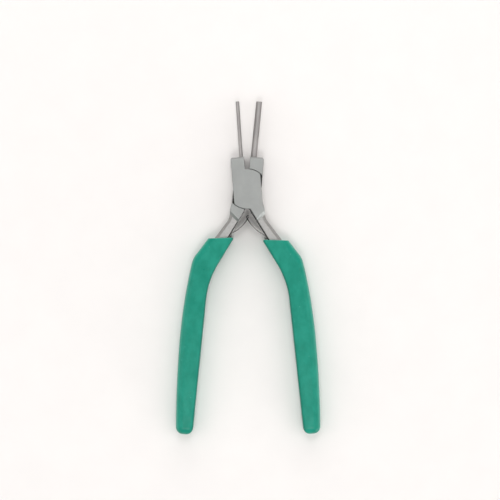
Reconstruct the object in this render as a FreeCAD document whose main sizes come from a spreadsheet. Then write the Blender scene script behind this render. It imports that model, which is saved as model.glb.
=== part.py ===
import FreeCAD, Part

import math
import os
import re
from typing import NamedTuple

import Sketcher

# Jump ring pliers: a box joint, two round mandrels, two leaf springs that hook
# together at their tips, and a dipped grip on each handle.
#
# The origin is where the pivot axis meets the back face of the joint. +Z runs
# along the pivot axis to the front face, +Y towards the mandrel tips, and +X to
# the side of the large mandrel.
#
# Each half is drawn about the pivot as it stands with the mandrels parallel,
# with its mid plane in the XY plane of its body, and is then lifted to the
# joint's mid height and turned by half of the rest opening. The outer half
# holds the small mandrel and the right handle. The inner half holds the large
# mandrel and the left handle, and its web runs through the outer half's slot.

SIZES = (
    ("RestAngle", 9.4, "degrees between the jaws when nothing presses the handles"),
    ("OpenAngle", 25.0, "degrees between the jaws when they are opened right up"),
    ("OverAngle", 1.1, "degrees past parallel, where the mandrel tips all but meet"),
    ("StopAngle", 0.4, "degrees left between the web and the slot at either limit"),
    ("JointThickness", 8.5, "front face to back face of the joint"),
    ("HalfWidth", 5.95, "centre line to the side of the jaws and of the joint"),
    ("JawTop", 13.6, "pivot to the end face of the jaws"),
    ("JawGap", 0.4, "gap between the jaws when the mandrels are parallel"),
    ("JawBevel", 0.6, "bevel round the end face of a jaw"),
    ("CheekRadius", 8.35, "round ends of the outer half's cheeks"),
    ("ShoulderGap", 0.15, "gap between the cheeks and the inner half's shoulders"),
    ("WebThickness", 2.8, "web of the inner half"),
    ("WebPlay", 0.05, "gap on either side of the web in the slot"),
    ("WebHalfWidth", 4.4, "pivot to the side faces of the web"),
    ("WebAngle", 33.0, "degrees from the centre line to the web"),
    ("SlotGap", 0.1, "gap between the web's side faces and the slot"),
    ("PinDiameter", 5.0, "pivot pin"),
    ("PinPlay", 0.04, "gap all round the pin in the web"),
    ("NotchRadius", 0.5, "root of the notch between the jaws"),
    ("ThroatRadius", 0.5, "root of the throat between the handles"),
    ("HeelRelief", 0.6, "centre line to the relieved heel of the inner half"),
    ("EdgeBreak", 0.15, "broken edges of the ground faces"),
    ("SmallMandrel", 1.5, "diameter of the small mandrel"),
    ("LargeMandrel", 2.5, "diameter of the large mandrel"),
    ("MandrelLength", 23.6, "mandrel outside its jaw"),
    ("SmallOffset", 1.45, "centre line to the small mandrel at the jaw's end"),
    ("LargeOffset", 1.65, "centre line to the large mandrel at the jaw's end"),
    ("MandrelLean", 1.1, "degrees that both mandrels lean to the large one's side"),
    ("SocketDepth", 5.0, "mandrel inside its jaw"),
    ("SeatDepth", 0.1, "spot face in the jaw for a mandrel's shoulder"),
    ("SmallShank", 1.1, "diameter of the small mandrel inside its jaw"),
    ("LargeShank", 2.0, "diameter of the large mandrel inside its jaw"),
    ("TipBevel", 0.12, "bevel round a mandrel's tip"),
    ("FaceAngle", 26.7, "degrees from the centre line to a handle's inner face"),
    ("SideReach", 6.5, "centre line to the handle's root on its outer side"),
    ("FlareDrop", 9.0, "pivot to the end of the flare from the joint's side"),
    ("SideDrop", 12.9, "pivot to the corner where the handle turns outwards"),
    ("SideBlend", 6.0, "rounding of that corner"),
    ("GroundInner", 14.2, "pivot to the end of the ground face at the inner face"),
    ("GroundOuter", 11.2, "pivot to the end of the ground face at the outer side"),
    ("GroundBevel", 1.2, "bevel at the end of the ground face"),
    ("TangThickness", 5.5, "handle bar, front to back"),
    ("TangBevel", 1.2, "bevelled outer edges of the handle bar"),
    ("TangBreak", 0.35, "broken inner edges of the handle bar"),
    ("TangLap", 1.0, "handle bar under the end of the ground face"),
    ("WaistReach", 21.3, "centre line to the widest point of the bar's back"),
    ("WaistDrop", 67.0, "pivot to the widest point of the bar's back"),
    ("KneeTaper", 2.76, "outer knee nearer to the centre line than the waist"),
    ("KneeDrop", 31.8, "pivot to the outer knee of the bar"),
    ("OuterKnee", 7.0, "rounding of the outer knee"),
    ("ShankWidth", 5.73, "inner knee nearer to the centre line than the waist"),
    ("InnerKnee", 38.0, "rounding of the inner knee"),
    ("ToeTaper", 1.33, "back of the bar's end nearer to the centre line than the waist"),
    ("ToeWidth", 3.02, "bar at its end"),
    ("ToeDrop", 102.8, "pivot to the end of the bar"),
    ("ToeRadius", 1.35, "rounded outer corner of the bar's end"),
    ("GripWall", 2.1, "wall of the grip beside the bar and past its end"),
    ("GripThickness", 9.5, "grip, front to back"),
    ("GripEdge", 3.0, "rounded outer edges and end of the grip"),
    ("GripInnerEdge", 1.2, "rounded inner edges of the grip"),
    ("RightDip", 21.3, "pivot to the right grip's dip line, on the centre line"),
    ("LeftDip", 20.35, "pivot to the left grip's dip line, on the centre line"),
    ("DipFall", 6.3, "degrees that the dip lines fall towards the outside"),
    ("LipRadius", 0.5, "rounded lip of the grip at its dip line"),
    ("LeafThickness", 0.4, "spring leaf"),
    ("LeafWidth", 4.0, "spring leaf, front to back"),
    ("FootRise", 0.45, "dip line to the foot of a leaf"),
    ("FootLength", 1.5, "flat foot of a leaf on its handle"),
    ("LiftRadius", 1.8, "first bend of a leaf, off its handle"),
    ("CrossingDrop", 12.5, "pivot to where the leaves cross at rest"),
    ("LeafLead", 0.9, "straight end of a leaf before the crossing"),
    ("TongueRoot", 0.55, "root of the tongue to the crossing"),
    ("TongueWidth", 1.6, "tongue of the right leaf"),
    ("TongueLength", 0.55, "straight tongue past the crossing"),
    ("CurlRadius", 0.55, "curl at the end of the tongue, to its middle"),
    ("CurlAngle", 150.0, "degrees that the curl turns"),
    ("WindowPlay", 0.2, "gap on either side of the tongue in the window"),
    ("WindowLead", 0.6, "window of the left leaf before the crossing"),
    ("WindowLength", 0.47, "window of the left leaf past the crossing"),
    ("BarLength", 0.4, "bar across the end of the left leaf"),
    ("RivetShank", 1.0, "diameter of a spring rivet's shank"),
    ("RivetHead", 1.5, "diameter of a spring rivet's head"),
    ("RivetRise", 0.5, "height of a spring rivet's tapered head"),
    ("RivetDepth", 2.5, "spring rivet inside its handle"),
    ("RivetSet", 0.8, "end of a leaf's foot to its rivet"),
)

DOC = FreeCAD.newDocument("jump_ring_pliers")
SHEET = DOC.addObject("Spreadsheet::Sheet", "Sizes")
for row, (name, value, meaning) in enumerate(SIZES, 1):
    SHEET.set(f"A{row}", meaning)
    SHEET.set(f"B{row}", str(value))
    SHEET.setAlias(f"B{row}", name)
DOC.recompute()

NAMES = re.compile(r"\b(" + "|".join(size[0] for size in SIZES) + r")\b")

# How near two coordinates are that are meant to be the same
NEAR = 0.01

# The two sides of the centre line. The outer half turns and has its handle to
# the right, the inner half to the left.
LEFT, RIGHT = -1, 1


# Formulas

def bound(formula):
    """The formula with the name of each size pointing at its cell."""
    return NAMES.sub(r"Sizes.\1", formula)


def amount(formula):
    """What the formula comes to, as a plain number."""
    result = SHEET.evalExpression(bound(formula))
    return float(getattr(result, "Value", result))


def sided(side, formula):
    """The formula on this side of the centre line."""
    return formula if side == RIGHT else f"-({formula})"


HALF_REST = "(RestAngle / 2)"
SHOULDER_RADIUS = "(CheekRadius + ShoulderGap)"
FACE = "(FaceAngle * 1 deg)"


def chord(radius, away):
    """How far a circle about the pivot reaches this far from its middle."""
    return f"sqrt({radius}^2 - ({away})^2)"


def inner_face(drop):
    """How far a handle's inner face is from the centre line at this drop."""
    return f"((({drop}) - CheekRadius) * tan(FaceAngle))"


def back_radius(taper, drop):
    """Radius of the arc that is upright at the waist and ends at this taper."""
    return f"(({taper}^2 + (WaistDrop - {drop})^2) / (2 * {taper}))"


UPPER_BACK = back_radius("KneeTaper", "KneeDrop")
LOWER_BACK = back_radius("ToeTaper", "ToeDrop")
INNER_REACH = "(WaistReach - ShankWidth)"
INNER_DROP = f"(CheekRadius + {INNER_REACH} / tan(FaceAngle))"


# Sketches and features

# The points of an edge in a sketch
START, END, CENTRE = 1, 2, 3

# The sketch's own origin, as a point of an edge
ORIGIN = (-1, START)


class Corner(NamedTuple):
    """A corner of an outline. Where the way on from it is an arc, it has the
    arc's radius, and +1 or -1 as the arc bulges to the right or the left."""
    x: str
    y: str
    radius: str = ""
    bulge: int = 0


def mirrored(side, corners):
    """The corners on this side of the centre line."""
    return [Corner(sided(side, corner.x), corner.y, corner.radius, side * corner.bulge)
            for corner in corners]


def new_body(name):
    body = DOC.addObject("PartDesign::Body", name)
    body.Label = name
    return body


def new_sketch(body, name, plane="XY_Plane"):
    sketch = body.newObject("Sketcher::SketchObject", name)
    planes = {item.Role: item for item in body.Origin.OriginFeatures}
    sketch.AttachmentSupport = [(planes[plane], "")]
    sketch.MapMode = "FlatFace"
    return sketch


def tie(sketch, about, formula):
    """Adds a constraint whose value follows the formula."""
    number = sketch.addConstraint(Sketcher.Constraint(*about, amount(formula)))
    sketch.setExpression(f"Constraints[{number}]", bound(formula))


def arc_between(start, end, radius, bulge):
    """The short arc between two points, counter-clockwise as sketches keep it."""
    across = end - start
    left = FreeCAD.Vector(-across.y, across.x, 0).normalize()
    centre = (start + end) / 2 + left * bulge * math.sqrt(radius**2 - across.Length**2 / 4)
    first, last = (start, end) if bulge > 0 else (end, start)
    angles = [math.atan2(point.y - centre.y, point.x - centre.x) for point in (first, last)]
    return Part.ArcOfCircle(Part.Circle(centre, FreeCAD.Vector(0, 0, 1), radius), *angles)


def outline(sketch, corners):
    """Draws a closed outline and ties every corner and radius to its formula."""
    points = [FreeCAD.Vector(amount(corner.x), amount(corner.y), 0) for corner in corners]
    for index, corner in enumerate(corners):
        start, end = points[index], points[(index + 1) % len(points)]
        if corner.radius:
            edge = arc_between(start, end, amount(corner.radius), corner.bulge)
        else:
            edge = Part.LineSegment(start, end)
        sketch.addGeometry(edge, False)
    ends = [(END, START) if corner.bulge < 0 else (START, END) for corner in corners]
    for index, corner in enumerate(corners):
        first, last = ends[index]
        following = (index + 1) % len(corners)
        sketch.addConstraint(Sketcher.Constraint(
            "Coincident", index, last, following, ends[following][0]))
        tie(sketch, ("DistanceX", *ORIGIN, index, first), corner.x)
        tie(sketch, ("DistanceY", *ORIGIN, index, first), corner.y)
        if corner.radius:
            tie(sketch, ("Radius", index), corner.radius)


def ring(sketch, x, y, radius):
    """Draws a circle about a point."""
    centre = FreeCAD.Vector(amount(x), amount(y), 0)
    sketch.addGeometry(Part.Circle(centre, FreeCAD.Vector(0, 0, 1), amount(radius)), False)
    tie(sketch, ("DistanceX", *ORIGIN, 0, CENTRE), x)
    tie(sketch, ("DistanceY", *ORIGIN, 0, CENTRE), y)
    tie(sketch, ("Radius", 0), radius)


def added(body, kind, sketch):
    feature = body.newObject(f"PartDesign::{kind}", f"{sketch.Name}_{kind.lower()}")
    feature.Profile = sketch
    return feature


def slab(body, sketch, thickness, kind="Pad"):
    """Adds, or with a Pocket cuts, a slab of this thickness about the sketch."""
    feature = added(body, kind, sketch)
    feature.SideType = "Symmetric"
    feature.setExpression("Length", bound(thickness))
    DOC.recompute()
    return feature


def turned(body, sketch, axis, kind="Revolution"):
    """Adds, or with a Groove cuts, a full turn of the sketch."""
    feature = added(body, kind, sketch)
    feature.ReferenceAxis = (sketch, [axis])
    feature.Angle = 360
    DOC.recompute()
    return feature


def round_hole(body, name, x, y, turn, diameter, depth):
    """Turns a blind hole whose mouth is at x, y and which runs along +Y turned
    by this angle. The cut starts one diameter outside the mouth."""
    sketch = new_sketch(body, name)
    sketch.setExpression("AttachmentOffset.Base.x", bound(x))
    sketch.setExpression("AttachmentOffset.Base.y", bound(y))
    sketch.setExpression("AttachmentOffset.Rotation.Angle", bound(f"({turn}) * 1 deg"))
    outline(sketch, (
        Corner("0", f"-{diameter}"),
        Corner(f"{diameter} / 2", f"-{diameter}"),
        Corner(f"{diameter} / 2", depth),
        Corner("0", depth),
    ))
    turned(body, sketch, "V_Axis", kind="Groove")


def eased(body, kind, size, edges):
    """A Fillet or a Chamfer of this size on these edges of the body so far."""
    if not edges:
        raise RuntimeError(f"{body.Name} has no edges for a {kind} of {size}")
    base = body.Tip
    feature = body.newObject(f"PartDesign::{kind}", f"{body.Name}_{kind.lower()}_{size}")
    feature.Base = (base, edges)
    feature.setExpression("Radius" if kind == "Fillet" else "Size", bound(size))
    DOC.recompute()


def edges_where(body, test):
    """The names of the body's edges that pass the test."""
    return [f"Edge{number}" for number, edge in enumerate(body.Tip.Shape.Edges, 1) if test(edge)]


def same(one, other):
    return abs(one - other) < NEAR


def upright_edge(body, corner):
    """The edge along Z that stands on this corner of an outline."""
    x, y = amount(corner.x), amount(corner.y)

    def test(edge):
        box = edge.BoundBox
        return box.ZLength > NEAR and all(map(same, (box.XMin, box.XMax, box.YMin, box.YMax),
                                              (x, x, y, y)))
    return edges_where(body, test)


def rim(body, thickness, test=lambda box: True):
    """The edges on the front and the back of a slab of this thickness."""
    height = amount(thickness) / 2

    def on_face(edge):
        box = edge.BoundBox
        return box.ZLength < NEAR and same(abs(box.ZMin), height) and test(box)
    return edges_where(body, on_face)


def spans(box, low_drop, high_drop):
    """Whether the box reaches from one drop below the pivot to the other."""
    return same(box.YMin, -amount(low_drop)) and same(box.YMax, -amount(high_drop))


def hangs_from(box, side, corner):
    """Whether an edge with this box runs down from this corner of an outline."""
    corner, = mirrored(side, [corner])
    x, y = amount(corner.x), amount(corner.y)
    return box.YLength > NEAR and same(box.YMax, y) and (same(box.XMin, x) or same(box.XMax, x))


def placed(item, half, x="0", y="0", turn="0"):
    """Sets a piece on a point of its half, and turns the half to rest."""
    rest = sided(half, HALF_REST)
    item.setExpression("Placement.Base.x", bound(f"({x}) * cos({rest}) - ({y}) * sin({rest})"))
    item.setExpression("Placement.Base.y", bound(f"({x}) * sin({rest}) + ({y}) * cos({rest})"))
    item.setExpression("Placement.Base.z", bound("JointThickness / 2"))
    item.setExpression("Placement.Rotation.Angle", bound(f"(({turn}) + ({rest})) * 1 deg"))
    DOC.recompute()


# Handle bars, alike on both halves but for their side

TANG_TOP = "(GroundInner - TangLap)"

BAR = {
    "inner top": Corner(inner_face(TANG_TOP), f"-{TANG_TOP}"),
    "inner knee": Corner(INNER_REACH, f"-{INNER_DROP}"),
    "inner toe": Corner("WaistReach - ToeTaper - ToeWidth", "-ToeDrop"),
    "outer toe": Corner("WaistReach - ToeTaper", "-ToeDrop", LOWER_BACK, 1),
    "waist": Corner("WaistReach", "-WaistDrop", UPPER_BACK, 1),
    "outer knee": Corner("WaistReach - KneeTaper", "-KneeDrop"),
    "side": Corner("SideReach", "-SideDrop"),
    "outer top": Corner("SideReach", "-FlareDrop"),
}

BAR_ROUNDING = {
    "inner knee": "InnerKnee",
    "outer knee": "OuterKnee",
    "side": "SideBlend",
    "outer toe": "ToeRadius",
}


def rounded_slab(body, side, corners, thickness, rounding):
    """A slab of one handle's outline with its corners rounded."""
    sketch = new_sketch(body, f"{body.Name}_plan")
    outline(sketch, mirrored(side, corners.values()))
    slab(body, sketch, thickness)
    for place, radius in rounding.items():
        corner, = mirrored(side, [corners[place]])
        eased(body, "Fillet", radius, upright_edge(body, corner))


def bar(body, side):
    rounded_slab(body, side, BAR, "TangThickness", BAR_ROUNDING)
    back = rim(body, "TangThickness", lambda box: hangs_from(box, side, BAR["waist"]))
    eased(body, "Chamfer", "TangBevel", back)
    face = rim(body, "TangThickness", lambda box: hangs_from(box, side, BAR["inner top"]))
    eased(body, "Chamfer", "TangBreak", face)


# The joint's ends, eased alike on both halves

def ease_joint(body, jaw):
    """Bevels the jaw's end face and the end of the ground faces, and breaks the
    rest of the ground faces' edges. jaw is the side that the jaw is on."""
    ground_end = rim(body, "JointThickness", lambda box: spans(box, "GroundInner", "GroundOuter"))
    eased(body, "Chamfer", "GroundBevel", ground_end)

    jaw_end = rim(body, "JointThickness", lambda box: spans(box, "-JawTop", "-JawTop"))
    outside = upright_edge(body, Corner(sided(jaw, "HalfWidth"), "JawTop"))
    eased(body, "Chamfer", "JawBevel", jaw_end + outside)

    walls = [face for face in body.Tip.Shape.Faces if is_wall(face)]
    around = rim(body, "JointThickness")
    broken = [edge for edge in around
              if any(body.Tip.Shape.getElement(edge).isSame(side)
                     for wall in walls for side in wall.Edges)]
    eased(body, "Chamfer", "EdgeBreak", broken)


def is_wall(face):
    """Whether the face stands upright."""
    first, last, low, high = face.ParameterRange
    return abs(face.normalAt((first + last) / 2, (low + high) / 2).z) < NEAR


def pin_hole(body, radius):
    sketch = new_sketch(body, f"{body.Name}_pin_hole")
    ring(sketch, "0", "0", radius)
    slab(body, sketch, "2 * JointThickness", kind="Pocket")


def mandrel_socket(body, jaw, size):
    """The hole in a jaw's end face for its mandrel, and the seat round it."""
    mouth = (sided(jaw, f"{size}Offset"), "JawTop", "180 - MandrelLean")
    round_hole(body, f"{body.Name}_seat", *mouth, f"{size}Mandrel", "SeatDepth")
    round_hole(body, f"{body.Name}_socket", *mouth, f"{size}Shank", "SocketDepth")


# Where the leaves and their rivets stand on the handles

def foot_drop(dip):
    """The drop of a leaf's foot, on the inner face just above the dip line."""
    share = "(tan(FaceAngle) * tan(DipFall))"
    return f"(({dip} - CheekRadius * {share}) / (1 - {share}) - FootRise)"


FOOT = {RIGHT: foot_drop("RightDip"), LEFT: foot_drop("LeftDip")}


def rivet_point(side):
    """Where a spring rivet passes the inner face of its handle."""
    x = f"{inner_face(FOOT[side])} - RivetSet * sin(FaceAngle)"
    return sided(side, x), f"RivetSet * cos(FaceAngle) - {FOOT[side]}"


def rivet_hole(body, side):
    round_hole(body, f"{body.Name}_rivet_hole", *rivet_point(side),
               sided(side, "FaceAngle - 90"), "RivetShank", "RivetDepth")


# Outer half: the small jaw, two cheeks with the slot between them, the right
# handle

def outer_half():
    body = new_body("outer_half")
    bar(body, RIGHT)

    notch = Corner("-JawGap / 2", chord("CheekRadius", "JawGap / 2"))
    throat = Corner("0", "-CheekRadius")
    cheeks = new_sketch(body, "cheeks")
    outline(cheeks, (
        Corner("-JawGap / 2", "JawTop"),
        Corner("-HalfWidth", "JawTop"),
        Corner("-HalfWidth", f"-{chord('CheekRadius', 'HalfWidth')}", "CheekRadius", 1),
        throat,
        Corner(inner_face("GroundInner"), "-GroundInner"),
        Corner("SideReach", "-GroundOuter"),
        Corner("SideReach", "-FlareDrop"),
        Corner("HalfWidth", f"-{chord('CheekRadius', 'HalfWidth')}"),
        Corner("HalfWidth", chord("CheekRadius", "HalfWidth"), "CheekRadius", 1),
        notch,
    ))
    slab(body, cheeks, "JointThickness")
    eased(body, "Fillet", "NotchRadius", upright_edge(body, notch))
    eased(body, "Fillet", "ThroatRadius", upright_edge(body, throat))
    ease_joint(body, LEFT)

    slot = new_sketch(body, "slot")
    outline(slot, slot_corners())
    slab(body, slot, "WebThickness + 2 * WebPlay", kind="Pocket")
    pin_hole(body, "PinDiameter / 2")
    mandrel_socket(body, LEFT, "Small")
    rivet_hole(body, RIGHT)
    placed(body, RIGHT)
    return body


def slot_corners():
    """The slot in plan. Either end wall is a blunt wedge that points at the
    pivot: one of its faces stops the web when the jaws close, the other when
    they open."""
    closed = "(WebAngle - OverAngle - StopAngle)"
    opened = "(WebAngle + OpenAngle + StopAngle)"
    middle = f"(({closed} + {opened}) / 2)"
    reach = f"((WebHalfWidth + SlotGap) / cos(({opened} - {closed}) / 2))"
    x, y = f"-{reach} * cos({middle})", f"{reach} * sin({middle})"
    wall = [
        Corner(f"{x} + JawTop * sin({closed})", f"{y} + JawTop * cos({closed})"),
        Corner(x, y),
        Corner(f"{x} - JawTop * sin({opened})", f"{y} - JawTop * cos({opened})"),
    ]
    return wall + [Corner(f"-({corner.x})", f"-({corner.y})") for corner in wall]


# Inner half: the large jaw, the web, the left handle

def inner_half():
    body = new_body("inner_half")
    bar(body, LEFT)

    ground_end = (
        Corner("-SideReach", "-FlareDrop"),
        Corner("-SideReach", "-GroundOuter"),
        Corner(f"-{inner_face('GroundInner')}", "-GroundInner"),
        Corner("-HeelRelief", "-CheekRadius - HeelRelief / tan(FaceAngle)"),
    )
    steep = "tan(90 - WebAngle)"
    middle = "WebHalfWidth / sin(WebAngle)"
    web = new_sketch(body, "web")
    outline(web, (
        Corner("JawGap / 2", "JawTop"),
        Corner("JawGap / 2", f"{middle} + JawGap / 2 * {steep}"),
        Corner("-HalfWidth", f"{middle} - HalfWidth * {steep}"),
        Corner("-HalfWidth", f"-{chord(SHOULDER_RADIUS, 'HalfWidth')}"),
        *ground_end,
        Corner("-HeelRelief", f"-{middle} - HeelRelief * {steep}"),
        Corner("HalfWidth", f"-{middle} + HalfWidth * {steep}"),
        Corner("HalfWidth", "JawTop"),
    ))
    slab(body, web, "WebThickness")

    jaw = new_sketch(body, "jaw")
    outline(jaw, (
        Corner("JawGap / 2", "JawTop"),
        Corner("JawGap / 2", chord(SHOULDER_RADIUS, "JawGap / 2"), SHOULDER_RADIUS, -1),
        Corner("HalfWidth", chord(SHOULDER_RADIUS, "HalfWidth")),
        Corner("HalfWidth", "JawTop"),
    ))
    slab(body, jaw, "JointThickness")

    shoulder = new_sketch(body, "shoulder")
    outline(shoulder, (
        Corner("-HalfWidth", f"-{chord(SHOULDER_RADIUS, 'HalfWidth')}"),
        *ground_end,
        Corner("-HeelRelief", f"-{chord(SHOULDER_RADIUS, 'HeelRelief')}", SHOULDER_RADIUS, -1),
    ))
    slab(body, shoulder, "JointThickness")
    ease_joint(body, RIGHT)

    pin_hole(body, "PinDiameter / 2 + PinPlay")
    mandrel_socket(body, RIGHT, "Large")
    rivet_hole(body, LEFT)
    placed(body, LEFT)
    return body


# Pivot pin, fixed in the cheeks and ground flush with them

def pivot_pin():
    body = new_body("pivot_pin")
    sketch = new_sketch(body, "pin")
    ring(sketch, "0", "0", "PinDiameter / 2")
    slab(body, sketch, "JointThickness")
    placed(body, RIGHT)
    return body


# Mandrels, turned about +Y of their own from the end face of their jaw

def mandrel(name, jaw, size):
    body = new_body(name)
    sketch = new_sketch(body, f"{name}_profile")
    outline(sketch, (
        Corner("0", "-SocketDepth"),
        Corner(f"{size}Shank / 2", "-SocketDepth"),
        Corner(f"{size}Shank / 2", "-SeatDepth"),
        Corner(f"{size}Mandrel / 2", "-SeatDepth"),
        Corner(f"{size}Mandrel / 2", "MandrelLength - TipBevel"),
        Corner(f"{size}Mandrel / 2 - TipBevel", "MandrelLength"),
        Corner("0", "MandrelLength"),
    ))
    turned(body, sketch, "V_Axis")
    placed(body, -jaw, sided(jaw, f"{size}Offset"), "JawTop", "-MandrelLean")
    return body


# Leaf springs. A leaf's own +Y runs up its handle's inner face from the end of
# its foot. The left leaf leans to its +X and the right leaf is its mirror image.

def crossing(side):
    """Where the leaves cross at rest: off the handle's face, and up along it."""
    across = f"(CrossingDrop * sin({HALF_REST}) + {inner_face(FOOT[side])})"
    upward = f"({FOOT[side]} - CrossingDrop * cos({HALF_REST}))"
    return (f"({across} * cos(FaceAngle) - {upward} * sin(FaceAngle))",
            f"({across} * sin(FaceAngle) + {upward} * cos(FaceAngle))")


def leaf(name, side, past):
    """A foot, a short bend off the handle, a long bend back, and a straight end
    that stops this far past the crossing."""
    body = new_body(name)
    half = "LeafThickness / 2"
    out, along = crossing(side)
    rise = f"({out} - {half})"
    run = f"({along} - LeafLead - FootLength)"
    turn = f"(2 * atan({rise} / {run}))"
    back = f"({run} / sin({turn}) - LiftRadius)"
    middle_x = f"{half} + LiftRadius * (1 - cos({turn}))"
    middle_y = f"FootLength + LiftRadius * sin({turn})"
    strip = [
        Corner("0", "0"),
        Corner("LeafThickness", "0"),
        Corner("LeafThickness", "FootLength", f"LiftRadius - {half}", -1),
        Corner(f"{middle_x} + {half} * cos({turn})", f"{middle_y} - {half} * sin({turn})",
               f"{back} + {half}", 1),
        Corner(f"{out} + {half}", f"{along} - LeafLead"),
        Corner(f"{out} + {half}", f"{along} + {past}"),
        Corner(f"{out} - {half}", f"{along} + {past}"),
        Corner(f"{out} - {half}", f"{along} - LeafLead", f"{back} - {half}", -1),
        Corner(f"{middle_x} - {half} * cos({turn})", f"{middle_y} + {half} * sin({turn})",
               f"LiftRadius + {half}", 1),
        Corner("0", "FootLength"),
    ]
    sketch = new_sketch(body, f"{name}_strip")
    outline(sketch, mirrored(-side, strip))
    slab(body, sketch, "LeafWidth")

    hole = new_sketch(body, f"{name}_hole", "YZ_Plane")
    ring(hole, "RivetSet", "0", "RivetShank / 2")
    slab(body, hole, "4 * LeafThickness", kind="Pocket")
    placed(body, side, sided(side, inner_face(FOOT[side])), f"-{FOOT[side]}",
           sided(side, "FaceAngle"))
    return body


def right_leaf_spring():
    """The leaf with the tongue, which goes through the window and curls back."""
    body = leaf("right_leaf_spring", RIGHT, "-TongueRoot")
    half = "LeafThickness / 2"
    out, along = crossing(RIGHT)
    top = f"({along} + TongueLength)"
    wide, narrow = f"(CurlRadius + {half})", f"(CurlRadius - {half})"
    tongue = new_sketch(body, "tongue")
    outline(tongue, mirrored(LEFT, (
        Corner(f"{out} - {half}", f"{along} - LeafLead"),
        Corner(f"{out} + {half}", f"{along} - LeafLead"),
        Corner(f"{out} + {half}", top, wide, 1),
        Corner(f"{out} - CurlRadius + {wide} * cos(CurlAngle)", f"{top} + {wide} * sin(CurlAngle)"),
        Corner(f"{out} - CurlRadius + {narrow} * cos(CurlAngle)",
               f"{top} + {narrow} * sin(CurlAngle)", narrow, -1),
        Corner(f"{out} - {half}", top),
    )))
    slab(body, tongue, "TongueWidth")
    return body


def left_leaf_spring():
    """The leaf with the window, and the bar that the curl hooks on."""
    body = leaf("left_leaf_spring", LEFT, "WindowLength + BarLength")
    out, along = crossing(LEFT)
    window = new_sketch(body, "window")
    outline(window, (
        Corner(f"{out} - LeafThickness", f"{along} - WindowLead"),
        Corner(f"{out} + LeafThickness", f"{along} - WindowLead"),
        Corner(f"{out} + LeafThickness", f"{along} + WindowLength"),
        Corner(f"{out} - LeafThickness", f"{along} + WindowLength"),
    ))
    slab(body, window, "TongueWidth + 2 * WindowPlay", kind="Pocket")
    return body


# Spring rivets, turned about +X of their own, which points out of the handle

def spring_rivet(name, side):
    body = new_body(name)
    sketch = new_sketch(body, f"{name}_profile")
    outline(sketch, (
        Corner("-RivetDepth", "0"),
        Corner("LeafThickness + RivetRise", "0"),
        Corner("LeafThickness + RivetRise", "RivetShank / 2"),
        Corner("LeafThickness", "RivetHead / 2"),
        Corner("LeafThickness", "RivetShank / 2"),
        Corner("-RivetDepth", "RivetShank / 2"),
    ))
    turned(body, sketch, "H_Axis")
    out = {RIGHT: "180 + FaceAngle", LEFT: "-FaceAngle"}
    placed(body, side, *rivet_point(side), out[side])
    return body


# Grips: the bar's outline grown by the wall, cut off at the dip line, and hollow
# where the bar is

def grown(corner, one, other):
    """A corner of the bar moved out by the wall, given which ways the outline
    faces on its two sides, in degrees from +X."""
    middle, apart = f"(({one} + {other}) / 2)", f"(({one} - {other}) / 2)"
    radius = corner.radius and f"{corner.radius} + GripWall"
    return Corner(f"{corner.x} + GripWall * cos({middle}) / cos({apart})",
                  f"{corner.y} + GripWall * sin({middle}) / cos({apart})",
                  radius, corner.bulge)


# The ways that the sides of the right bar face
FLARE_WAY = "atan((WaistReach - KneeTaper - SideReach) / (KneeDrop - SideDrop))"
UPPER_WAY = f"asin((WaistDrop - KneeDrop) / {UPPER_BACK})"
LOWER_WAY = f"-asin((ToeDrop - WaistDrop) / {LOWER_BACK})"
SHANK_WAY = f"(180 deg + atan((ShankWidth - ToeTaper - ToeWidth) / (ToeDrop - {INNER_DROP})))"
FACE_WAY = f"(180 deg + {FACE})"

BLANK_DROP = "(SideDrop + SideBlend)"
BLANK_REACH = f"(SideReach + SideBlend * tan({FLARE_WAY}))"

GRIP = {
    "inner top": grown(Corner(inner_face(BLANK_DROP), f"-{BLANK_DROP}"), "90 deg", FACE_WAY),
    "inner knee": grown(BAR["inner knee"], FACE_WAY, SHANK_WAY),
    "inner toe": grown(BAR["inner toe"], SHANK_WAY, "270 deg"),
    "outer toe": grown(BAR["outer toe"], "-90 deg", LOWER_WAY),
    "waist": grown(BAR["waist"], "0 deg", "0 deg"),
    "outer knee": grown(BAR["outer knee"], UPPER_WAY, FLARE_WAY),
    "outer top": grown(Corner(BLANK_REACH, f"-{BLANK_DROP}"), FLARE_WAY, "90 deg"),
}

GRIP_ROUNDING = {
    "inner knee": "InnerKnee - GripWall",
    "outer knee": "OuterKnee + GripWall",
}


def grip(name, side, dip, half):
    body = new_body(f"{name}_outside")
    rounded_slab(body, side, GRIP, "GripThickness", GRIP_ROUNDING)
    end = "(ToeDrop + GripWall)"
    rounded = rim(body, "GripThickness",
                  lambda box: spans(box, end, end) or hangs_from(box, side, GRIP["waist"]))
    for place in ("inner toe", "outer toe"):
        corner, = mirrored(side, [GRIP[place]])
        rounded += upright_edge(body, corner)
    eased(body, "Fillet", "GripEdge", rounded)
    face = rim(body, "GripThickness", lambda box: hangs_from(box, side, GRIP["inner top"]))
    eased(body, "Fillet", "GripInnerEdge", face)

    far = "(2 * WaistReach)"
    above = new_sketch(body, f"{name}_above_dip")
    outline(above, mirrored(side, (
        Corner("0", f"-{dip}"),
        Corner(far, f"-{dip} - {far} * tan(DipFall)"),
        Corner(far, "0"),
        Corner("0", "0"),
    )))
    slab(body, above, "2 * GripThickness", kind="Pocket")

    def on_dip_line(edge):
        return not edge.Degenerated and all(
            same(point.y, -amount(dip) - side * point.x * amount("tan(DipFall)"))
            for point in edge.discretize(3))
    eased(body, "Fillet", "LipRadius", edges_where(body, on_dip_line))
    placed(body, side)

    shell = DOC.addObject("Part::Cut", name)
    shell.Label = name
    shell.Base = body
    shell.Tool = half
    DOC.recompute()
    return shell


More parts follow.
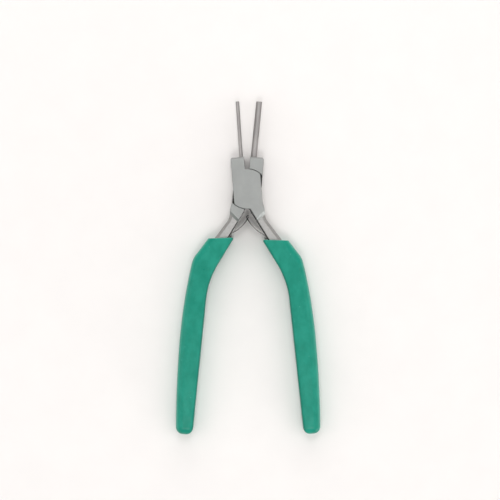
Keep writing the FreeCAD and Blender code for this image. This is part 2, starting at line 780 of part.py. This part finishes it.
OUTER = outer_half()
INNER = inner_half()
PIECES = (
    OUTER,
    INNER,
    pivot_pin(),
    mandrel("small_mandrel", LEFT, "Small"),
    mandrel("large_mandrel", RIGHT, "Large"),
    right_leaf_spring(),
    left_leaf_spring(),
    spring_rivet("right_spring_rivet", RIGHT),
    spring_rivet("left_spring_rivet", LEFT),
    grip("right_grip", RIGHT, "RightDip", OUTER),
    grip("left_grip", LEFT, "LeftDip", INNER),
)

DOC.recompute()
for item in DOC.Objects:
    if {"Invalid", "Error"} & set(item.State):
        raise RuntimeError(f"{item.Name} did not compute: {item.State}")

os.makedirs("parts", exist_ok=True)
for piece in PIECES:
    if piece.Shape.isNull() or not piece.Shape.isValid():
        raise RuntimeError(f"{piece.Label} has no valid shape")
    piece.Shape.exportStep(f"parts/{piece.Label}.step")
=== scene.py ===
import math

import bmesh
import bpy
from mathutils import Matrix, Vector


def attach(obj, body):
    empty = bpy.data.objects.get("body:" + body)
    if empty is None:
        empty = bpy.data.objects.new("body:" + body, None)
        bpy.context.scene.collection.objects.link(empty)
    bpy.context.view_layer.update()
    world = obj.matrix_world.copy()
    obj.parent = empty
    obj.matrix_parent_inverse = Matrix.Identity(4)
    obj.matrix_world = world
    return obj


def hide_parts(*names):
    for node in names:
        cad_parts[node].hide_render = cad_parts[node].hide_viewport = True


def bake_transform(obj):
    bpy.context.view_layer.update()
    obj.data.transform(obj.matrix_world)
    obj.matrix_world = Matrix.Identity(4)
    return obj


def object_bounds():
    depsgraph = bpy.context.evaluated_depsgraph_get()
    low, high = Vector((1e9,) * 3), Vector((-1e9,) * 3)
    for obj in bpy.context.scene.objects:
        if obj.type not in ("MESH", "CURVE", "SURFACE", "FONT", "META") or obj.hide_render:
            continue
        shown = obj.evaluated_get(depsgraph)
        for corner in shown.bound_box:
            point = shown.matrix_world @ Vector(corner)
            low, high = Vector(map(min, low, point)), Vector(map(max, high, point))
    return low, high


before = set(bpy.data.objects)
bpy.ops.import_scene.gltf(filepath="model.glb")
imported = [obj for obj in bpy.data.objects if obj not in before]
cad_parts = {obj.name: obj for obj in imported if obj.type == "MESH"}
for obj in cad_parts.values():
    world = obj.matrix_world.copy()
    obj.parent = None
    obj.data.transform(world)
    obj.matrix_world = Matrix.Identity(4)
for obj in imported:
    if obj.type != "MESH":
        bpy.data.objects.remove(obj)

CAD_BOX = [list(corner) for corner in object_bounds()]

MM = 0.001

# The middle plane of the pliers, half way between their two flats, in millimetres
MID_PLANE = 4.25

# The photograph: its pixels, how much of the pliers one of them shows, where its
# middle lies in the middle plane, and the lens it is seen through
IMAGE_PIXELS = 500
PIXEL = 0.4217 * MM
MIDDLE = Vector((1.05 * MM, -25.64 * MM, MID_PLANE * MM))
ROLL = math.radians(-0.2)
LENS = 150.0
SENSOR = 36.0
NEAREST = 0.01

# Where the finishes of the two halves change. A pair is a soft step, from where a
# finish starts to where it is full. Places are in millimetres from the pin's axis
BARS_BELOW = (-9.0, -10.0)      # under this Y the ground joint gives way to the bars
BAR_DEPTH = (3.6, 3.0)          # off the middle plane: the bars are thinner
WEB_DEPTH = (2.0, 1.7)          # off the middle plane: the web in its slot
THROAT_BELOW = (-2.5, -3.0)     # under this Y the bars' faces have the leaves between them
RIM_BELOW = (-8.2, -8.35)       # under this Y the right bar's edge has painted shade
RIM_WIDTH = (0.5, 0.35)         # off the right bar's face
PIN_END = (2.8, 3.2)            # off the pin's axis: its end is ground flush, with no lighter edge

# Ways that the steel's surface faces, from -1 to 1
WEB_FLAT = (0.6, 0.9)           # up or down
INWARD = (0.0, -0.5)            # towards the other bar
DOWNWARD = (-0.2, -0.3)         # along Y, towards the grips
STEEP = (0.92, 0.78)            # neither up nor down
WORN_AND_HIGHLIT = (0.02, 0.25)             # away from the rounded edge, which wear and a painted highlight lighten

# The line of the right bar's face on the leaves: a x + b y + c = 0, in millimetres
FACE_LINE = (0.854, 0.521, 3.6)

# The strip is darker from its hooked end to here, along Y in millimetres
DARK_HOOK_END = (-14.6, -13.4)

# Ways that the vinyl's surface faces, from -1 to 1
OUTER = (0.5, 0.95)             # away from the other grip
INNER = (-0.25, -0.9)           # towards the other grip
LIP = (0.3, 0.8)                # along Y, towards the joint
ROUNDED = (0.0, 0.3)            # up or down, and not only to a side

# Bubbles in the vinyl: chances to a millimetre, which of them hold one, and its edge
BUBBLE_CHANCES = 0.5
BUBBLE_FEW = (0.8, 0.82)
BUBBLE_EDGE = (0.16, 0.08)

# Where the shades of a finish meet in its patches
PATCHES = (0.3, 0.7)

# Marks that the joint and its pin share, as patches to a millimetre along X, Y and Z
GRINDING = (9.0, 0.5, 2.5)
STAINS = (0.12, 0.1, 0.12)

# Where the two leaves hook together, and the feet they flex from
HOOK = Vector((0, -11.9, MID_PLANE)) * MM
FEET = {
    "right": Vector((8.2, -20.9, MID_PLANE)) * MM,
    "left": Vector((-7.6, -20.0, MID_PLANE)) * MM,
}
LEAF_LENGTHS = 26               # short lengths between a leaf's foot and its hook
ON_CUT = 1e-7                   # metres off a cut that still count as on it
SAME_POINT = 1e-6               # metres between two points that are one
SHARP = math.radians(35)

# How far the table's edges lie from its middle, in metres
TABLE_REACH = 2.0

BACKDROP = (1.0, 0.99, 0.98, 1)
BACKDROP_STRENGTH = 0.45

# Softboxes: place, width and height in metres, and power in watts
SOFTBOXES = {
    "left_side": ((-0.62, -0.05, 0.56), 0.3, 0.9, 1.0),
    "right_side": ((0.62, -0.05, 0.56), 0.3, 0.9, 1.0),
    "high_back": ((0, 0.36, 1.0), 0.4, 0.3, 1.6),
    "high_front": ((0, -0.42, 1.0), 0.4, 0.3, 2.4),
    "low_back": ((0, 0.75, 0.35), 0.8, 0.25, 2.3),
    "low_right": ((0.5, -0.55, 0.2), 0.7, 0.32, 0.7),
    "low_left": ((-0.5, -0.55, 0.2), 0.7, 0.32, 0.5),
    "far_right": ((1.2, -1.2, 0.12), 0.8, 0.2, 5.3),
}


# Finishes

class Reading:
    """A value that changes over a surface. A sum written with it adds its nodes."""

    def __init__(self, finish, socket):
        self.finish, self.socket = finish, socket

    def maths(self, operation, *values):
        return self.finish.node("Math", {"operation": operation}, dict(enumerate(values)))

    def __add__(self, other):
        return self.maths("ADD", self, other)

    def __sub__(self, other):
        return self.maths("SUBTRACT", self, other)

    def __rsub__(self, other):
        return self.maths("SUBTRACT", other, self)

    def __mul__(self, other):
        return self.maths("MULTIPLY", self, other)

    def __abs__(self):
        return self.maths("ABSOLUTE", self)

    __radd__ = __add__
    __rmul__ = __mul__

    def between(self, low, high):
        """0 where the value is at low, 1 where it is at high, smooth in between."""
        return self.finish.node("MapRange", {"interpolation_type": "SMOOTHSTEP"},
                                {0: self, 1: low, 2: high})


class Finish:
    """The nodes of one material."""

    def __init__(self, name):
        self.material = bpy.data.materials.new(name)
        self.material.use_nodes = True
        self.tree = self.material.node_tree
        self.tree.nodes.clear()
        place = self.node("TexCoord", {}, {}, "Object")
        self.mm = self.vector("SCALE", {0: place, "Scale": 1 / MM})

    def node(self, kind, settings, inputs, output=0):
        """Adds a node, sets it, feeds its sockets, and gives one of its outputs."""
        made = self.tree.nodes.new(f"ShaderNode{kind}")
        for name, value in settings.items():
            setattr(made, name, value)
        for name, value in inputs.items():
            if isinstance(value, Reading):
                self.tree.links.new(value.socket, made.inputs[name])
            else:
                made.inputs[name].default_value = value
        return Reading(self, made.outputs[output]) if made.outputs else None

    def vector(self, operation, inputs, output=0):
        """Works out a vector, or a measure of one."""
        return self.node("VectorMath", {"operation": operation}, inputs, output)

    def part(self, vector, axis):
        """The X, Y or Z of a vector."""
        return self.node("SeparateXYZ", {}, {0: vector}, axis)

    def along(self, axis):
        """How far along X, Y or Z a point lies, in millimetres."""
        return self.part(self.mm, axis)

    def facing(self, axis):
        """How far the surface faces along X, Y or Z, from -1 to 1."""
        return self.part(self.node("TexCoord", {}, {}, "Normal"), axis)

    def cloud(self, stretch, detail=3.0, roughness=0.55):
        """Soft noise from 0 to 1, with so many patches to a millimetre along each axis."""
        place = self.vector("MULTIPLY", {0: self.mm, 1: stretch})
        return self.node("TexNoise", {}, {
            "Vector": place, "Scale": 1.0, "Detail": detail, "Roughness": roughness})

    def tint(self, mask, low, high):
        """The low colour where the mask is 0 and the high one where it is 1."""
        low, high = (
            shade if isinstance(shade, Reading) else (*shade, 1) for shade in (low, high))
        return self.node("Mix", {"data_type": "RGBA"}, {0: mask, 6: low, 7: high}, 2)

    def patches(self, cloud, low, high):
        """Two shades that lie beside each other in patches."""
        return self.tint(cloud.between(*PATCHES), low, high)

    def edges(self, radius):
        """1 on edges that are sharper than this radius in millimetres, 0 off them."""
        rounded = self.node("Bevel", {"samples": 6}, {"Radius": radius * MM})
        straight = self.node("NewGeometry", {}, {}, "Normal")
        alike = self.vector("DOT_PRODUCT", {0: rounded, 1: straight}, "Value")
        return (1 - alike).between(*WORN_AND_HIGHLIT)

    def relief(self, height):
        """The surface's normal, roughened by a height in millimetres."""
        return self.node("Bump", {}, {"Height": height, "Distance": MM, "Strength": 1.0})

    def surface(self, **sockets):
        """Ends the material in one Principled shader."""
        inputs = {name.replace("_", " "): value for name, value in sockets.items()}
        shader = self.node("BsdfPrincipled", {}, inputs)
        self.node("OutputMaterial", {}, {"Surface": shader})
        return self.material


def joint_steel():
    """Flats ground to a grey satin, lighter tumbled bars below them, and painted shade
    on the web in its slot, on the faces that close on the leaves and along the
    right bar's edge beside them."""
    finish = Finish("joint_steel")
    x, y = finish.along("X"), finish.along("Y")
    up = abs(finish.facing("Z"))
    inward = x * finish.facing("X")
    off_middle = abs(finish.along("Z") - MID_PLANE)
    flat = finish.vector("MULTIPLY", {0: finish.mm, 1: (1, 1, 0)})
    off_pin = finish.vector("LENGTH", {0: flat}, "Value")

    below = y.between(*BARS_BELOW)
    bar = below * off_middle.between(*BAR_DEPTH)
    # painted shade: the web deep in its slot, the bars' faces that close on the leaves and
    # the right bar's edge beside them are darkened where shade falls
    web = (1 - below) * up.between(*WEB_FLAT) * off_middle.between(*WEB_DEPTH)
    throat = y.between(*THROAT_BELOW) * inward.between(*INWARD)
    inner_face = throat * finish.facing("Y").between(*DOWNWARD) * up.between(*STEEP)
    across_x, across_y, away = FACE_LINE
    off_face = abs(x * across_x + y * across_y + away)
    rim = off_face.between(*RIM_WIDTH) * y.between(*RIM_BELOW)

    stains = finish.cloud(STAINS, 4.0)
    grinding = finish.cloud(GRINDING, 2.0, 0.7)
    pitting = finish.cloud((2.2, 2.2, 2.2), 3.0, 0.65)
    # sharp edges are lighter: partly wear, partly a painted highlight
    worn_and_highlit = finish.edges(0.2) * off_pin.between(*PIN_END)
    ground = finish.patches(stains, (0.306, 0.314, 0.306), (0.338, 0.346, 0.338))
    tumbled = finish.patches(pitting, (0.36, 0.352, 0.342), (0.438, 0.43, 0.42))
    painted_shade = finish.patches(pitting, (0.035, 0.035, 0.034), (0.08, 0.08, 0.077))
    steel = finish.tint(worn_and_highlit * 0.6, finish.tint(bar, ground, tumbled), (0.66, 0.67, 0.65))
    height = grinding * (1 - bar) * 0.006 + pitting * bar * 0.012
    return finish.surface(
        Base_Color=finish.tint(web + inner_face + rim, steel, painted_shade), Metallic=1.0,
        Roughness=0.42 + 0.1 * grinding - 0.06 * worn_and_highlit + 0.05 * bar * pitting,
        Normal=finish.relief(height))


def pin_steel():
    """The pin and rivets, ground with the flats beside them."""
    finish = Finish("pin_steel")
    grinding = finish.cloud(GRINDING, 2.0, 0.7)
    stains = finish.cloud(STAINS, 4.0)
    return finish.surface(
        Base_Color=finish.patches(stains, (0.301, 0.309, 0.301), (0.333, 0.341, 0.333)),
        Metallic=1.0, Roughness=0.42 + 0.1 * grinding,
        Normal=finish.relief(grinding * 0.006))


def turned_steel():
    """Rods with fine turning marks round them."""
    finish = Finish("turned_steel")
    turning = finish.cloud((0.4, 9.0, 0.4), 2.0, 0.7)
    stains = finish.cloud((0.5, 0.12, 0.5), 3.0)
    rod = finish.patches(stains, (0.33, 0.315, 0.308), (0.4, 0.382, 0.375))
    # sharp edges at the rods' ends are lighter: partly wear, partly a painted highlight
    return finish.surface(
        Base_Color=finish.tint(finish.edges(0.1) * 0.5, rod, (0.5, 0.48, 0.47)),
        Metallic=1.0, Specular_Tint=(0.3, 0.29, 0.29, 1),
        Roughness=0.36 + 0.12 * turning, Normal=finish.relief(turning * 0.0008))


def strip_steel():
    """Grey spring strip with rolling marks along it, and darker towards its hooked
    end."""
    finish = Finish("strip_steel")
    rolling = finish.cloud((2.0, 2.0, 12.0), 2.0, 0.7)
    stains = finish.cloud((0.5, 0.5, 0.5), 3.0)
    strip = finish.patches(stains, (0.13, 0.125, 0.12), (0.2, 0.195, 0.185))
    darker_hook_end = (finish.along("Y") + stains).between(*DARK_HOOK_END)
    strip = finish.tint(darker_hook_end, strip, (0.03, 0.029, 0.03))
    # sharp edges are lighter: partly wear, partly a painted highlight
    worn_and_highlit = finish.edges(0.08) * (1 - darker_hook_end)
    return finish.surface(
        Base_Color=finish.tint(worn_and_highlit * 0.4, strip, (0.36, 0.35, 0.33)), Metallic=1.0,
        Roughness=0.34 + 0.12 * rolling, Normal=finish.relief(rolling * 0.0024))


def dipped_vinyl():
    """Soft gloss vinyl with a faint sag in its surface and a few trapped bubbles. Its
    colour holds a painted highlight over the lip and the outer edges, and painted
    shade over the inner ones."""
    finish = Finish("dipped_vinyl")
    side = 2 * finish.along("X").between(-1, 1) - 1
    outward = side * finish.facing("X")
    rounded = abs(finish.facing("Z")).between(*ROUNDED)
    outer = outward.between(*OUTER) * rounded
    inner = outward.between(*INNER) * rounded
    lip = finish.facing("Y").between(*LIP) * rounded
    cells = {"Vector": finish.mm, "Scale": BUBBLE_CHANCES}
    near = finish.node("TexVoronoi", {}, cells, "Distance")
    lot = finish.part(finish.node("TexVoronoi", {}, cells, "Color"), "X")
    bubbles = near.between(*BUBBLE_EDGE) * lot.between(*BUBBLE_FEW)
    mottle = finish.cloud((0.25, 0.16, 0.25), 4.0, 0.6)
    sag = finish.cloud((0.22, 0.12, 0.22), 2.0, 0.4)
    peel = finish.cloud((1.3, 1.3, 1.3), 2.0, 0.5)
    colour = finish.patches(mottle, (0.004, 0.23, 0.158), (0.011, 0.285, 0.202))
    # painted light: shade painted over the inner edges, a highlight painted over the outer
    # edges and over the lip
    for mask, share, shade in (
        (inner, 0.6, (0.001, 0.12, 0.085)),
        (outer, 0.55, (0.08, 0.37, 0.285)),
        (lip, 0.6, (0.04, 0.42, 0.3)),
        (bubbles, 0.35, (0.1, 0.42, 0.32)),
    ):
        colour = finish.tint(mask * share, colour, shade)
    return finish.surface(
        Base_Color=colour, Roughness=0.24 + 0.12 * mottle, Specular_IOR_Level=0.24,
        Normal=finish.relief(sag * 0.25 + peel * 0.02))


def table_top():
    """Pale board with a faint cloudiness."""
    finish = Finish("table_top")
    fibres = finish.cloud((0.06, 0.06, 0.06), 4.0)
    return finish.surface(
        Base_Color=finish.tint(
            fibres.between(0.2, 0.8), (0.914, 0.882, 0.864), (0.934, 0.902, 0.883)),
        Roughness=0.75 + 0.1 * fibres)


def dressed(piece, material):
    """Gives every slot of a piece the same material."""
    for slot in piece.material_slots:
        slot.material = material


for material, names in (
    (joint_steel(), ("outer_half", "inner_half")),
    (pin_steel(), ("pivot_pin", "right_spring_rivet", "left_spring_rivet")),
    (turned_steel(), ("small_mandrel", "large_mandrel")),
    (dipped_vinyl(), ("right_grip", "left_grip")),
):
    for name in names:
        dressed(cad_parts[name], material)


# Leaves, between the two halves

def placed(name, data):
    """A new object in the scene."""
    made = bpy.data.objects.new(name, data)
    bpy.context.scene.collection.objects.link(made)
    return made


def flexing_leaf(side, own, steel):
    """The leaf's own solid, cut across into short lengths between its foot and its hook.
    It is put with its own half, then let go again with its place baked in."""
    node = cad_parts[f"{side}_leaf_spring"]
    mesh = node.data.copy()
    if "custom_normal" in mesh.attributes:
        mesh.attributes.remove(mesh.attributes["custom_normal"])
    strip = placed(f"{side}_flexing_leaf", mesh)
    foot = FEET[side]
    reach = HOOK - foot
    work = bmesh.new()
    work.from_mesh(mesh)
    for number in range(1, LEAF_LENGTHS):
        bmesh.ops.bisect_plane(
            work, geom=[*work.verts, *work.edges, *work.faces], dist=ON_CUT,
            plane_co=foot + reach * number / LEAF_LENGTHS, plane_no=reach)
    bmesh.ops.remove_doubles(work, verts=work.verts, dist=SAME_POINT)
    for edge in work.edges:
        edge.smooth = len(edge.link_faces) == 2 and edge.calc_face_angle() < SHARP
    for face in work.faces:
        face.smooth = True
    work.to_mesh(mesh)
    work.free()
    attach(strip, own)
    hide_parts(node.name)
    dressed(strip, steel)
    strip.parent = None
    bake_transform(strip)


spring_strip = strip_steel()
flexing_leaf("right", "outer", spring_strip)
flexing_leaf("left", "inner", spring_strip)


# Table, lights and camera

def table():
    """A square top that the pliers lie on, with its middle under the pin."""
    bottom = CAD_BOX[0][2]
    corners = ((-1, -1), (1, -1), (1, 1), (-1, 1))
    mesh = bpy.data.meshes.new("table")
    mesh.from_pydata(
        [(x * TABLE_REACH, y * TABLE_REACH, bottom) for x, y in corners],
        [], [(0, 1, 2, 3)])
    mesh.materials.append(table_top())
    placed("table", mesh)


def softbox(name, place, width, height, power):
    """A rectangular light that faces the middle of the pliers."""
    lamp = bpy.data.lights.new(name, "AREA")
    lamp.shape = "RECTANGLE"
    lamp.size, lamp.size_y = width, height
    lamp.energy = power
    box = placed(name, lamp)
    box.location = place
    box.rotation_euler = (MIDDLE - Vector(place)).to_track_quat("-Z", "Y").to_euler()
    box.visible_camera = False


def studio():
    """A plain bright room with softboxes round the table."""
    world = bpy.data.worlds.new("studio")
    bpy.context.scene.world = world
    world.use_nodes = True
    backdrop = world.node_tree.nodes["Background"]
    backdrop.inputs["Color"].default_value = BACKDROP
    backdrop.inputs["Strength"].default_value = BACKDROP_STRENGTH
    for name, (place, width, height, power) in SOFTBOXES.items():
        softbox(name, place, width, height, power)


def camera():
    """Looks straight down on the pliers, framed as they are in the photograph."""
    lens = bpy.data.cameras.new("camera")
    lens.lens, lens.sensor_width = LENS, SENSOR
    lens.clip_start = NEAREST
    view = placed("camera", lens)
    away = IMAGE_PIXELS * PIXEL * LENS / SENSOR
    view.location = MIDDLE + Vector((0, 0, away))
    view.rotation_euler = (0, 0, ROLL)
    bpy.context.scene.camera = view
    bpy.context.scene.view_settings.view_transform = "Standard"


table()
studio()
camera()
